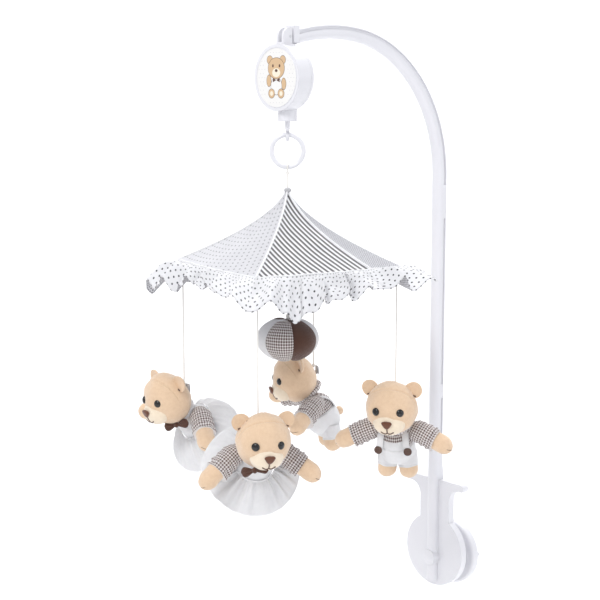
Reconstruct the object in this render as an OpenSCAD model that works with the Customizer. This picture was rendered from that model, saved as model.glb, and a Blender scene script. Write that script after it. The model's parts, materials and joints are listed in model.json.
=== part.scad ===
// Crib mobile: clamp, three-piece arm, wind-up music box, fabric canopy and hanging toys.
// The origin is the rail side of the front jaw, +Y points at the rail, +Z up.

/* [Arm] */
// Distance from the jaw face to the axis the toys hang on
reach = 239; // [225:1:290]
// Height where the straight strut starts to bend
bend_z = 434; // [410:1:480]
// Radius of the main bend, at the middle of the arm
bend_r = 155; // [150:1:175]
// Angle of the main bend
bend_angle = 81; // [76:1:84]
// Width of the arm, side to side
arm_w = 13; // [11:0.5:16]
// Depth of the arm, front to back
arm_d = 14; // [12:0.5:17]
// Distance from the jaw face to the middle of the strut
strut_back = 10.5; // [10:0.5:13]
// Height of the seam between the bracket and the middle strut
lower_seam_z = 189.5; // [150:0.5:230]
// Height of the seam between the middle strut and the curved arm
upper_seam_z = 396; // [340:1:405]
// Radius of the plug that joins two arm pieces
plug_r = 4; // [3:0.25:4.5]
// Length of the plug that joins two arm pieces
plug_len = 18; // [10:1:25]
// Clearance around a plug
plug_gap = 0.1; // [0.05:0.05:0.3]

/* [Clamp] */
// Radius of the front jaw disc
jaw_r = 42.3; // [36:0.5:50]
// Thickness of the front jaw
jaw_t = 9; // [7.5:0.5:12]
// Width of the neck above the jaw disc
neck_w = 44; // [36:1:52]
// Height of the top of the side ears
ear_z = 85; // [70:1:100]
// Reach of the side ears from the middle
ear_half = 43; // [36:1:50]
// Height of the ears where they meet the neck
ear_h = 23; // [18:1:28]
// Height of the clamp screw's axis, below the middle of the jaw
screw_z = -8; // [-12:0.5:-7.5]
// Radius of the clamp screw
screw_r = 4; // [3:0.25:5]
// Length of screw behind the jaw face
screw_len = 50; // [44:1:60]
// Gap left for the rail in the rest position
rail_gap = 14; // [13:0.5:20]
// Radius of the clamp knob
knob_r = 38; // [32:0.5:44]
// Thickness of the clamp knob at its rim
knob_t = 11; // [8:0.5:14]
// Travel of the knob for one turn
thread_pitch = 4; // [2:0.5:6]

/* [Music box] */
// Radius of the music box
box_r = 33; // [32:0.5:40]
// Depth of the music box, front to back
box_d = 24; // [24:0.5:30]
// Wall of the music box
box_wall = 2; // [1.5:0.25:2.5]
// Height of the middle of the music box
box_z = 543.5; // [535:0.5:546]
// Radius of the spout under the music box
spout_r = 9.8; // [8:0.2:11]
// Height of the spout's lower end
spout_z = 500.5; // [495:0.5:504]
// Height of the tilt pin above the middle of the box
pin_rise = 40.5; // [40:0.5:44]
// Radius of the tilt pin
pin_r = 1.5; // [1:0.1:2]
// Radius of the spindle that carries the toys
spindle_r = 2.5; // [2:0.1:3]

/* [Ring and canopy] */
// Radius of the hanging ring, at the middle of its tube
ring_r = 16.15; // [14:0.25:20]
// Radius of the ring's tube
ring_tube = 2.35; // [1.8:0.05:2.6]
// Height of the canopy's peak
peak_z = 434; // [428:1:440]
// Height of the canopy's seam with its ruffle
hem_z = 357; // [350:1:370]
// Distance from the axis to each hanging cord
cord_circle = 113; // [100:1:120]
// Length of the ruffle's flare outward at a corner
ruffle_out = 37; // [20:1:40]
// Drop of the ruffle
ruffle_drop = 27; // [15:1:36]
// Thickness of the canopy cloth and its lining
cloth_t = 1.6; // [1:0.2:3]

/* [Toys] */
// Diameter of the cords
cord_d = 1.6; // [1.2:0.2:2.4]
// Radius of a bear's head
head_r = 24; // [21:0.5:26]
// Radius of a bear's body
body_r = 20; // [17:0.5:22]
// Reach of a bear's paws from its middle
paw_reach = 61; // [54:1:64]
// Radius of a girl bear's skirt at the hem
skirt_r = 50; // [42:1:52]
// Radius of the ball
ball_r = 32.5; // [26:0.5:36]
// Height of the ball, pole to pole
ball_h = 46; // [38:1:56]
// Height of the middle of the ball
ball_z = 278; // [270:1:285]

/* [Hidden] */
$fn = 48;

FIT = 0.05;     // radial clearance of a running fit
GAP = 0.3;      // clearance between pieces that move past each other
SEAT = 0.2;     // clearance between soft pieces sewn to each other

PLASTIC = [0.94, 0.94, 0.96];
STEEL = [0.72, 0.73, 0.75];
BRASS = [0.80, 0.66, 0.36];
PLUSH = [0.88, 0.70, 0.50];
CLOTH = [0.93, 0.93, 0.94];
CORD = [0.93, 0.92, 0.88];
BLACK = [0.05, 0.05, 0.06];

axis_y = -reach;

// Arm: the bend's middle, then the tip's flatter arc that reaches the end collar.
bend_y = -strut_back - bend_r;
flatter = 70;
top_r = bend_r + flatter;
top_angle = 23;
top_y = bend_y + (bend_r - top_r) * cos(bend_angle);
top_z = bend_z + (bend_r - top_r) * sin(bend_angle);
end_angle = bend_angle + top_angle;
channel_w = 3;
channel_d = 1.5;
channel_rim = 1.3;
channel_end = 8;
channel_stop = 30;

// Tilt hinge at the arm's end.
pin_y = axis_y - 1;
pin_z = box_z + pin_rise;
lug_r = 9;
lug_w = 11;
lug_back = 2.8;
tongue_w = 4;
tongue_r = 4;
collar_gap = 1.9;
collar_y = pin_y + lug_back + collar_gap;
collar_d = 7;
collar_z = [pin_z - 6, pin_z + 11];

// Clamp.
knob_y = rail_gap + 3;
ring_out = knob_r - 10;
head_af = 11;
head_t = 5;
head_sink = 2;
boss_r = 9;
boss_h = 3;

// Music box.
face_y = axis_y - 15;
rear_y = face_y + box_d;
seam_y = axis_y + 2;
edge_r = 6;
plate_recess = 0.8;
plate_r = box_r - 3.5;
screw_circle = box_r - box_wall - 4;
screw_angles = [5, 175, 230, 310];
boss_d = 6;

// Movement: one peg wheel on the barrel turns the spindle, its rim turns the pin drum.
gear_pitch_r = 13;
gear_teeth = 40;
drum_teeth = 20;
drum_pitch_r = gear_pitch_r * drum_teeth / gear_teeth;
gear_gap = 0.35;
gear_t = 3;
barrel_z = box_z - 4;
drum_z = barrel_z + gear_pitch_r + drum_pitch_r + gear_gap;
gear_y = axis_y - 8;
peg_r = 0.4;
peg_count = 36;
peg_circle = 11.5;
pinion_teeth = 12;
pinion_r = 4.8;
blade_t = 0.6;
arbor_r = 2;
base_t = 1.5;
base_y = axis_y + 3;
barrel_d = 4;
drum_len = 7;
drum_r = 5.4;
worm_r = 1.8;
worm_x = -(drum_pitch_r + 0.7 + GAP + worm_r);
worm_y = gear_y + gear_t / 2;
worm_lugs = [drum_z - 5.5, drum_z + 10.2];

// Hook, ring and canopy. The ring's flat side faces along ring_turn.
ring_turn = -43;
hook_r = 5.2;
hook_wire = 2;
ring_z = 470.6;
ring_top = ring_z + ring_r;
hook_z = ring_top + hook_r - hook_wire - ring_tube - GAP;
loop_wire = cord_d / 2;
hanger_drop = 1.3;
hanger_top = hem_z - cloth_t - hanger_drop;
hanger_t = 4.5;
hanger_low = hanger_top - hanger_t;
hub_r = 10;
hub_h = 13;
hub_cone = 7;
hub_top = hanger_low + hub_h + hub_cone;
turn = -57;
mid_pull = 0.15;
side_steps = 48;

// Bears in order: front girl, right boy, back boy, left girl.
bear_turn = [turn, turn + 90, turn + 180, turn + 270];
bear_yaw = [-28, -57, -118, -93];
cord_end = [217, 230, 228, 225];
cord_start = hanger_low - GAP;
girl_pitch = 35;
boy_pitch = 60;
head_at = [21, 0, -14.3];
muzzle_slope = 47;
muzzle_out = 19;
muzzle_r = 11.5;
ear_r = 4.5;
ear_long = 4;
body_len = 12;
arm_r = 10;
leg_r = 10.5;
tab_size = [2.4, 8, 9];

// Heights that the two middle cords pass, in millimetres, from the top down.
main_route = [450.9, 440, 428, 416, 404, 392, 380, hub_top];
ball_route = [cord_start, 340, 330, 320, 310, ball_z + ball_h / 2];
drop_steps = 13;

/* ---------- helpers ---------- */

// Turns a shape drawn in a plane so that its X, Y and Z become the part's Y, Z and X.
module in_side_plane() {
    rotate([90, 0, 90]) children();
}

// A round bar along Y from y0 to y1.
module bar_y(r, y0, y1, x = 0, z = 0) {
    translate([x, y1, z]) rotate([90, 0, 0]) cylinder(r = r, h = y1 - y0);
}

// A plate drawn in X and Z, from y0 to y1.
module plate_y(y0, y1) {
    translate([0, y1, 0]) rotate([90, 0, 0]) linear_extrude(y1 - y0) children();
}

// A box from its lowest to its highest corner.
module block(low, high) {
    translate(low) cube(high - low);
}

// A round bar with round ends between two points.
module capsule(a, b, r) {
    d = b - a;
    len = norm(d);
    translate(a) rotate([0, acos(d[2] / len), atan2(d[1], d[0])]) rotate_extrude()
        intersection() {
            union() {
                circle(r);
                translate([0, len]) circle(r);
                square([r, len]);
            }
            translate([0, -r]) square([r, len + 2 * r]);
        }
}

// A tube along points that each carry their own height; sides is its number of faces.
function ring_points(p, r, sides) =
    [for (i = [0:sides - 1]) p + [r * cos(360 * i / sides), r * sin(360 * i / sides), 0]];
module tube_down(points, d) {
    sides = 8;
    n = len(points);
    verts = [for (p = points) each ring_points(p, d / 2, sides)];
    walls = [for (k = [0:n - 2], i = [0:sides - 1])
        let (a = k * sides + i, b = k * sides + (i + 1) % sides) [a, b, b + sides, a + sides]];
    top = [for (i = [sides - 1:-1:0]) i];
    bottom = [for (i = [0:sides - 1]) (n - 1) * sides + i];
    polyhedron(verts, concat([top], walls, [bottom]));
}

/* ---------- arm ---------- */

// Section of the arm: round at the front, flat at the back, a channel along each side.
module arm_section(channels) {
    front = -arm_d / 2;
    difference() {
        union() {
            translate([0, front + arm_w / 2]) circle(arm_w / 2);
            translate([-arm_w / 2, front + arm_w / 2]) square([arm_w, arm_d - arm_w / 2]);
        }
        if (channels)
            for (side = [-1, 1])
                translate([side * arm_w / 2, arm_d / 2 - channel_rim - channel_w / 2])
                    square([2 * channel_d, channel_w], center = true);
    }
}

// A straight stretch of arm from z0 to z1.
module arm_straight(z0, z1, channels) {
    translate([0, -strut_back, z0]) linear_extrude(z1 - z0) arm_section(channels);
}

// A bent stretch: the arm section swept round [y, z] from angle a0 to a1.
module arm_bend(y, z, r, a0, a1) {
    translate([0, y, z]) in_side_plane() rotate([0, 0, a0])
        rotate_extrude(angle = a1 - a0, $fn = 180)
            translate([r, 0]) mirror([1, -1, 0]) arm_section(true);
}

module plug(z) {
    translate([0, -strut_back, z - plug_len]) cylinder(r = plug_r, h = plug_len);
}

module socket(z) {
    translate([0, -strut_back, z - plug_len - 1]) cylinder(r = plug_r + plug_gap, h = plug_len + 2);
}

module ear_outline(side) {
    notch_r = ear_h - 8;
    tip_r = 4.6;
    scale([side, 1]) difference() {
        union() {
            translate([0, ear_z - ear_h]) square([ear_half - tip_r, ear_h]);
            translate([ear_half - tip_r, ear_z - tip_r]) circle(tip_r);
            translate([0, ear_z - 2 * tip_r]) square([ear_half - tip_r, tip_r]);
        }
        translate([neck_w / 2 + notch_r, ear_z - ear_h]) circle(notch_r);
        translate([neck_w / 2, ear_z - ear_h - 1]) square([ear_half, 1.5]);
    }
}

module jaw_bracket() {
    strut_front = -strut_back - arm_d / 2;
    color(PLASTIC) difference() {
        union() {
            plate_y(-jaw_t, 0) {
                circle(jaw_r, $fn = 96);
                translate([-neck_w / 2, 0]) square([neck_w, ear_z - 0.5]);
                ear_outline(1);
                mirror([1, 0]) ear_outline(1);
            }
            arm_straight(ear_z + 24, lower_seam_z, false);
            intersection() {
                arm_straight(-jaw_r + 6, ear_z + 24, false);
                block([-arm_w, strut_front - 1, -jaw_r], [arm_w, -1, ear_z + 30]);
            }
            in_side_plane() translate([0, 0, -arm_w / 2 + 1]) linear_extrude(arm_w - 2)
                polygon([[-strut_back, ear_z - 4], [0, ear_z - 4], [0, ear_z + 3], [-3.5, ear_z + 30],
                    [-strut_back, ear_z + 30]]);
            bar_y(boss_r, strut_front - 1, -jaw_t / 2, 0, screw_z);
            intersection() {
                bar_y(boss_r, strut_front - boss_h, -jaw_t / 2, 0, screw_z);
                translate([0, strut_front + 11.5, screw_z]) sphere(14.5);
            }
        }
        socket(lower_seam_z);
        for (side = [-1, 1])
            block([side * arm_w / 2 - channel_d, -strut_back + arm_d / 2 - channel_rim - channel_w, ear_z + 34],
                [side * arm_w / 2 + channel_d, -strut_back + arm_d / 2 - channel_rim,
                    lower_seam_z - channel_end]);
        bar_y(screw_r + FIT, -jaw_t - 4, 1, 0, screw_z);
        translate([0, 1, screw_z]) rotate([90, 0, 0])
            cylinder(r = head_af / sqrt(3) + FIT, h = head_sink + head_t + 1, $fn = 6);
    }
}

module middle_strut() {
    color(PLASTIC) {
        difference() {
            union() {
                arm_straight(lower_seam_z, lower_seam_z + channel_end, false);
                arm_straight(lower_seam_z + channel_end, upper_seam_z - channel_end, true);
                arm_straight(upper_seam_z - channel_end, upper_seam_z, false);
            }
            socket(upper_seam_z);
        }
        plug(lower_seam_z);
    }
}

module curved_arm() {
    lap = 0.4;
    color(PLASTIC) {
        plug(upper_seam_z);
        arm_straight(upper_seam_z, upper_seam_z + channel_stop, false);
        arm_straight(upper_seam_z + channel_stop, bend_z + lap, true);
        arm_bend(bend_y, bend_z, bend_r, 0, bend_angle);
    }
}

// Tip of the arm: a flatter arc, an upright collar and the tongue the music box hangs on.
module arm_tip() {
    color(PLASTIC) difference() {
        union() {
            difference() {
                arm_bend(top_y, top_z, top_r, bend_angle, end_angle);
                block([-arm_w, collar_y - 60, pin_z - 30], [arm_w, collar_y + 1, pin_z + 30]);
            }
            block([-arm_w / 2, collar_y, collar_z[0]], [arm_w / 2, collar_y + collar_d, collar_z[1]]);
            block([-tongue_w / 2, pin_y, pin_z - tongue_r], [tongue_w / 2, collar_y + 1, pin_z + tongue_r]);
            in_side_plane() translate([pin_y, pin_z, -tongue_w / 2]) cylinder(r = tongue_r, h = tongue_w);
        }
        in_side_plane() translate([pin_y, pin_z, -tongue_w]) cylinder(r = pin_r + FIT, h = 2 * tongue_w);
    }
}

/* ---------- clamp ---------- */

module clamp_screw() {
    color(STEEL) {
        bar_y(screw_r, -head_sink - head_t / 2, screw_len, 0, screw_z);
        translate([0, -head_sink, screw_z]) rotate([90, 0, 0])
            cylinder(r = head_af / sqrt(3), h = head_t, $fn = 6);
    }
}

module pressure_ring() {
    color(PLASTIC) difference() {
        bar_y(ring_out, rail_gap, knob_y + 2, 0, screw_z);
        bar_y(screw_r + 1, rail_gap - 1, knob_y + 3, 0, screw_z);
        bar_y(ring_out - 8, rail_gap - 1, rail_gap + 1.2, 0, screw_z);
    }
}

// Knob: a dished disc with a raised rim at the front and a ribbed hub at the back.
module clamp_knob() {
    hub = 13;
    y1 = knob_y + knob_t;
    y2 = y1 + 10;
    color(PLASTIC) difference() {
        union() {
            bar_y(knob_r - 3, knob_y, y1, 0, screw_z);
            translate([0, knob_y + 3, screw_z]) rotate([-90, 0, 0])
                rotate_extrude($fn = 96) translate([knob_r - 3, 0]) circle(3);
            bar_y(knob_r, knob_y + 3, y1 - 3, 0, screw_z);
            translate([0, y1 - 3, screw_z]) rotate([-90, 0, 0])
                rotate_extrude($fn = 96) translate([knob_r - 3, 0]) circle(3);
            bar_y(hub, y1 - 1, y2, 0, screw_z);
            for (i = [0:5])
                translate([0, 0, screw_z]) rotate([0, 60 * i, 0])
                    block([hub - 1, y1 - 5, -2], [knob_r - 6, y2 - 3, 2]);
        }
        bar_y(ring_out + GAP, knob_y - 1, knob_y + 2 + GAP, 0, screw_z);
        difference() {
            bar_y(knob_r - 5, y1 - 4, y1 + 1, 0, screw_z);
            bar_y(hub, y1 - 5, y2, 0, screw_z);
            for (i = [0:5])
                translate([0, 0, screw_z]) rotate([0, 60 * i, 0])
                    block([0, y1 - 6, -2], [knob_r, y2, 2]);
        }
        bar_y(screw_r + FIT, knob_y - 2, y2 + 1, 0, screw_z);
    }
}

/* ---------- music box ---------- */

module spout_hole() {
    translate([0, axis_y, spout_z - 1]) cylinder(r = spout_r + FIT, h = box_z - box_r + 3 - spout_z + 8);
}

module case_holes(r) {
    for (a = screw_angles)
        bar_y(r, seam_y - 10, rear_y + 1, screw_circle * cos(a), box_z + screw_circle * sin(a));
}

module lug_outline() {
    intersection() {
        translate([pin_y, pin_z]) circle(lug_r);
        translate([pin_y - lug_r, pin_z - lug_r]) square([lug_r + lug_back, 2 * lug_r]);
    }
    translate([pin_y - lug_r, box_z + box_r - 4]) square([lug_r + lug_back, pin_rise - box_r + 4]);
}

module box_front() {
    color(PLASTIC) difference() {
        union() {
            difference() {
                bar_y(box_r, face_y, seam_y, 0, box_z, $fn = 96);
                bar_y(box_r - box_wall, face_y + box_wall, seam_y + 1, 0, box_z, $fn = 96);
            }
            for (a = screw_angles)
                bar_y(boss_d / 2, face_y + box_wall - 0.5, seam_y,
                    screw_circle * cos(a), box_z + screw_circle * sin(a));
            difference() {
                in_side_plane() translate([0, 0, -lug_w / 2]) linear_extrude(lug_w) lug_outline();
                bar_y(box_r - box_wall, face_y + 1, seam_y + 1, 0, box_z, $fn = 96);
            }
        }
        bar_y(plate_r + FIT, face_y - 1, face_y + plate_recess, 0, box_z, $fn = 96);
        block([-tongue_w / 2 - GAP, pin_y - lug_r - 1, pin_z - tongue_r - 1.5],
            [tongue_w / 2 + GAP, pin_y + lug_r, pin_z + lug_r + 1]);
        in_side_plane() translate([pin_y, pin_z, -lug_w]) cylinder(r = pin_r, h = 2 * lug_w);
        spout_hole();
        case_holes(0.9);
    }
}

module box_back() {
    color(PLASTIC) difference() {
        union() {
            difference() {
                union() {
                    bar_y(box_r, seam_y, rear_y - edge_r, 0, box_z, $fn = 96);
                    bar_y(box_r - edge_r, seam_y, rear_y, 0, box_z, $fn = 96);
                    translate([0, rear_y - edge_r, box_z]) rotate([-90, 0, 0])
                        rotate_extrude($fn = 96) translate([box_r - edge_r, 0]) circle(edge_r);
                }
                bar_y(box_r - edge_r, seam_y - 10, rear_y - box_wall, 0, box_z, $fn = 96);
                bar_y(box_r - box_wall, seam_y - 10, rear_y - edge_r, 0, box_z, $fn = 96);
            }
            for (a = screw_angles)
                bar_y(boss_d / 2, seam_y, rear_y - 1, screw_circle * cos(a), box_z + screw_circle * sin(a));
            for (a = [40, 140, 180, 0])
                bar_y(2.2, base_y + base_t, rear_y - 1, 18 * cos(a), barrel_z + 18 * sin(a));
        }
        spout_hole();
        case_holes(1.5);
        for (a = screw_angles)
            bar_y(2.6, rear_y - 1.6, rear_y + 1, screw_circle * cos(a), box_z + screw_circle * sin(a));
        bar_y(arbor_r + FIT, seam_y, rear_y + 1, 0, barrel_z);
        block([-box_r * 2, seam_y - 20, box_z - box_r * 2], [box_r * 2, seam_y, box_z + box_r * 2]);
    }
}

module face_plate() {
    color(CLOTH) bar_y(plate_r, face_y, face_y + plate_recess, 0, box_z, $fn = 96);
}

module case_screws() {
    color(STEEL) for (a = screw_angles) {
        bar_y(0.9, seam_y - 9, rear_y - 1, screw_circle * cos(a), box_z + screw_circle * sin(a));
        difference() {
            bar_y(2.5, rear_y - 1.6, rear_y - 0.2, screw_circle * cos(a), box_z + screw_circle * sin(a));
            translate([screw_circle * cos(a), rear_y, box_z + screw_circle * sin(a)])
                cube([4, 1.2, 0.7], center = true);
        }
    }
}

module tilt_pin() {
    color(STEEL) in_side_plane() translate([pin_y, pin_z, -lug_w / 2]) cylinder(r = pin_r, h = lug_w);
}

module spout() {
    top = box_z - box_r + box_wall + 4;
    color(PLASTIC) difference() {
        translate([0, axis_y, spout_z]) cylinder(r = spout_r, h = top - spout_z);
        translate([0, axis_y, spout_z - 1]) cylinder(r = spindle_r + FIT, h = top - spout_z + 2);
    }
}

module movement_plate() {
    color(BRASS) difference() {
        union() {
            bar_y(21, base_y, base_y + base_t, 0, barrel_z + 2);
            bar_y(3.5, gear_y + gear_t + GAP, base_y + 1, 0, barrel_z);
            bar_y(1.5, gear_y - 0.6, base_y + 1, 0, drum_z);
            for (z = worm_lugs)
                block([worm_x - 2.2, worm_y - 2.2, z], [worm_x + 2.2, base_y, z + 1.6]);
            block([worm_x - 2.2, base_y - base_t, worm_lugs[0]], [worm_x + 2.2, base_y, worm_lugs[1] + 1.6]);
            block([worm_x - 2.2, base_y - base_t, worm_lugs[0]], [worm_x + 2.2, base_y + 1, drum_z]);
        }
        bar_y(arbor_r + FIT, gear_y - 2, base_y + 5, 0, barrel_z);
        block([-7, base_y - 10, barrel_z - 40], [7, base_y + 10, barrel_z - 5.5]);
        translate([worm_x, worm_y, drum_z - 7]) cylinder(r = 0.6 + FIT, h = 22);
    }
}

module tone_comb() {
    tip_x = drum_r + 0.6 + GAP;
    teeth = 8;
    step = (drum_len - 1) / teeth;
    color(STEEL) {
        block([13, base_y - drum_len - 0.5, drum_z - 2], [19, base_y, drum_z + 1]);
        for (i = [0:teeth - 1])
            block([tip_x, base_y - drum_len + i * step, drum_z - 0.4],
                [13.2, base_y - drum_len + (i + 0.7) * step, drum_z + 0.4]);
    }
}

module winding_key() {
    color(PLASTIC) {
        bar_y(arbor_r, gear_y - barrel_d + 0.4, rear_y + 2, 0, barrel_z);
        bar_y(9, rear_y + GAP, rear_y + 4, 0, barrel_z);
        block([-10.5, rear_y + 3, barrel_z - 1.8], [10.5, rear_y + 11, barrel_z + 1.8]);
    }
}

// A spur wheel with plain tapered teeth, lying in X and Z between y0 and y0 + t.
module spur_wheel(pitch_r, teeth, y0, t, z, start) {
    pitch = 360 / teeth;
    root = pitch_r - 0.75;
    tip = pitch_r + 0.6;
    outline = [for (i = [0:teeth - 1]) let (a = start + i * pitch) each [
        root * [cos(a - pitch * 0.28), sin(a - pitch * 0.28)],
        tip * [cos(a - pitch * 0.10), sin(a - pitch * 0.10)],
        tip * [cos(a + pitch * 0.10), sin(a + pitch * 0.10)],
        root * [cos(a + pitch * 0.28), sin(a + pitch * 0.28)]]];
    translate([0, y0 + t, z]) rotate([90, 0, 0]) linear_extrude(t) polygon(outline);
}

module spring_barrel() {
    color(BRASS) difference() {
        union() {
            spur_wheel(gear_pitch_r, gear_teeth, gear_y, gear_t, barrel_z, 90);
            bar_y(11, gear_y - barrel_d, gear_y + 1, 0, barrel_z);
            for (i = [0:peg_count - 1])
                translate([0, 0, barrel_z]) rotate([0, 360 * i / peg_count, 0])
                    bar_y(peg_r, gear_y + gear_t - 0.5, axis_y - spindle_r - 0.5, 0, -peg_circle, $fn = 16);
        }
        bar_y(10, gear_y - barrel_d - 1, gear_y, 0, barrel_z);
        bar_y(arbor_r + FIT, gear_y - barrel_d - 1, gear_y + gear_t + 1, 0, barrel_z);
    }
}

module mainspring() {
    turns = 3;
    steps = 18;
    r0 = arbor_r + 1;
    r1 = 9.9;
    half = 0.3;
    path = [for (i = [0:turns * steps]) [r0 + (r1 - half - r0) * i / (turns * steps), 360 * i / steps]];
    outer = [for (p = path) (p[0] + half) * [cos(p[1]), sin(p[1])]];
    inner = [for (i = [turns * steps:-1:0]) (path[i][0] - half) * [cos(path[i][1]), sin(path[i][1])]];
    color(STEEL) translate([0, gear_y, barrel_z]) rotate([90, 0, 0])
        linear_extrude(barrel_d - 0.6) polygon(concat(outer, inner));
}

module pin_drum() {
    rows = 4;
    around = 7;
    color(BRASS) difference() {
        union() {
            spur_wheel(drum_pitch_r, drum_teeth, gear_y, gear_t, drum_z, 90 + 180 / drum_teeth);
            bar_y(drum_r, gear_y + 1, gear_y + gear_t + drum_len, 0, drum_z);
            for (k = [0:rows - 1], i = [0:around - 1])
                translate([0, gear_y + gear_t + 1.4 + 1.4 * k, drum_z])
                    rotate([0, 360 * (i + 0.27 * k) / around, 0])
                        cylinder(r = 0.3, h = drum_r + 0.5, $fn = 16);
        }
        bar_y(1.5 + FIT, gear_y - 1, gear_y + gear_t + drum_len + 1, 0, drum_z);
    }
}

module governor() {
    low = worm_lugs[0];
    color(BRASS) translate([worm_x, worm_y, 0]) {
        translate([0, 0, low - 0.2]) cylinder(r = 0.6, h = 18.2);
        translate([0, 0, low + 1.6 + GAP]) cylinder(r = worm_r, h = 8);
        block([-4, -0.4, low + 10.5], [4, 0.4, low + 15]);
    }
}

module spindle_hook() {
    pinion_top = barrel_z - peg_circle + 3;
    pinion_low = barrel_z - peg_circle - 3.5;
    spout_top = box_z - box_r + box_wall + 4;
    color(PLASTIC) translate([0, axis_y, 0]) {
        translate([0, 0, hook_z + hook_r]) cylinder(r = spindle_r, h = pinion_top - hook_z - hook_r);
        translate([0, 0, spout_top + GAP]) cylinder(r = spindle_r + 1.5, h = pinion_low - spout_top - GAP);
        for (i = [0:pinion_teeth - 1])
            rotate([0, 0, 360 * (i + 0.5) / pinion_teeth])
                block([0, -blade_t / 2, pinion_low - 0.1], [pinion_r, blade_t / 2, pinion_top]);
        difference() {
            translate([0, 0, hook_z]) rotate([90, 0, ring_turn])
                rotate_extrude() translate([hook_r, 0]) circle(hook_wire);
            rotate([0, 0, ring_turn]) block([2, -4, hook_z + 0.4], [9, 4, hook_z + 3.4]);
        }
    }
}

/* ---------- ring, canopy and ball ---------- */

module hanging_ring() {
    color(PLASTIC) translate([0, axis_y, ring_z]) rotate([0, 0, ring_turn]) rotate([0, 90, 0])
        rotate_extrude($fn = 72) translate([ring_r, 0]) circle(ring_tube);
}

module main_cord() {
    low = ring_z - ring_r;
    wire_r = ring_tube + GAP + loop_wire;
    color(CORD) {
        tube_down([for (z = main_route) [0, axis_y, z]], cord_d);
        translate([0, axis_y, low]) rotate([0, 0, ring_turn]) rotate([90, 0, 0])
            rotate_extrude($fn = 32) translate([wire_r, 0]) circle(loop_wire, $fn = 16);
    }
}

module canopy_hanger() {
    color(PLASTIC) translate([0, axis_y, 0]) {
        translate([0, 0, hanger_low]) cylinder(r = hub_r, h = hub_h);
        translate([0, 0, hanger_low + hub_h]) cylinder(r1 = 6, r2 = 2.5, h = hub_cone);
        for (a = bear_turn) rotate([0, 0, a]) {
            block([0, -2.5, hanger_low], [cord_circle + 2, 2.5, hanger_top]);
            translate([cord_circle, 0, hanger_low]) cylinder(r = 4, h = hanger_t);
        }
    }
}

// Radius of the seam at angle a: a square with its sides let out a little.
function seam_r(a) =
    let (b = (a - turn) - 90 * floor((a - turn) / 90) - 45)
    (cord_circle + 5) * ((1 - mid_pull) * cos(45) / cos(b) + mid_pull);
function cornerness(a) = pow(cos(2 * (a - turn)), 2) * (cos(4 * (a - turn)) > 0 ? 1 : 0.5);
function roof_point(a, t) =
    [seam_r(a) * t * cos(a), seam_r(a) * t * sin(a), peak_z - (peak_z - hem_z) * pow(t, 0.67)];
function ruffle_point(a, s) =
    let (c = cornerness(a), r = seam_r(a) + s * (ruffle_out - 14 * (1 - c)))
    [r * cos(a), r * sin(a), hem_z - s * (ruffle_drop - 4 * c)];
function lowered(p, d) =
    let (r = norm([p[0], p[1]])) [p[0] * (1 - 0.4 * d / r), p[1] * (1 - 0.4 * d / r), p[2] - d];

// One closed shell: roof and ruffle outside, the same surface a cloth thickness lower inside.
module canopy() {
    roof = [0.03, 0.1, 0.25, 0.45, 0.7, 1];
    flare = [0.5, 1];
    angles = [for (i = [0:side_steps - 1]) turn + 360 * i / side_steps];
    outer = [each [for (t = roof) [for (a = angles) roof_point(a, t)]],
        each [for (s = flare) [for (a = angles) ruffle_point(a, s)]]];
    levels = len(outer);
    n = side_steps;
    verts = concat([for (l = outer) each l], [for (l = outer) each [for (p = l) lowered(p, cloth_t)]]);
    function strip(a, b) = [for (i = [0:n - 1]) each
        [[a + i, b + i, b + (i + 1) % n], [a + i, b + (i + 1) % n, a + (i + 1) % n]]];
    in0 = levels * n;
    last = (levels - 1) * n;
    faces = concat([for (l = [0:levels - 2]) each strip((l + 1) * n, l * n)],
        [for (l = [0:levels - 2]) each strip(in0 + l * n, in0 + (l + 1) * n)],
        strip(0, in0), strip(in0 + last, last));
    color(CLOTH) translate([0, axis_y, 0]) polyhedron(verts, faces);
}

module ball_cord() {
    color(CORD) tube_down([for (z = ball_route) [0, axis_y, z]], cord_d);
}

module ball() {
    steps = 16;
    profile = [for (i = [0:steps]) let (a = -90 + 180 * i / steps)
        [ball_r * pow(cos(a), 0.9), (ball_h / 2) * sin(a)]];
    color(CLOTH) translate([0, axis_y, ball_z]) rotate_extrude($fn = 60) polygon(profile);
}

/* ---------- bears ---------- */

// Puts a bear drawn facing +X under its cord.
module hung(i) {
    translate([cord_circle * cos(bear_turn[i]), axis_y + cord_circle * sin(bear_turn[i]), cord_end[i]])
        rotate([0, 0, bear_yaw[i]]) children();
}

// The body's first ball just touches the head; the rest follows the body's slope.
function body_top(pitch) =
    let (slope = 0.6 * pitch + 18, d = head_r + body_r + SEAT) head_at + d * [-cos(slope), 0, -sin(slope)];
function body_end(pitch) = body_top(pitch) + body_len * [-cos(pitch), 0, -sin(pitch)];
function shoulder_at(pitch, side) =
    let (d = [0.35, 0.86 * side, 0.38]) body_top(pitch) + (body_r + arm_r + SEAT) * d / norm(d);
function leg_at(side) =
    let (d = [-cos(boy_pitch), 0.4 * side, -sin(boy_pitch)])
    body_end(boy_pitch) + (body_r + leg_r + SEAT) * d / norm(d);

// Head and muzzle are turned round one sloping axis; each ear is a bar that leans on the head.
module head_form() {
    translate(head_at) rotate([0, 90 + muzzle_slope, 0]) rotate_extrude() intersection() {
        union() {
            circle(head_r);
            translate([0, muzzle_out]) circle(muzzle_r);
        }
        translate([0, -head_r]) square([head_r, 2 * head_r + muzzle_out]);
    }
    for (side = [-1, 1]) {
        up = [0.06, 0.76 * side, 0.65];
        along = [0, -0.65 * side, 0.76];
        middle = head_at + (head_r + ear_r + SEAT) * up / norm(up);
        capsule(middle - ear_long * along, middle + ear_long * along, ear_r);
    }
}

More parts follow.
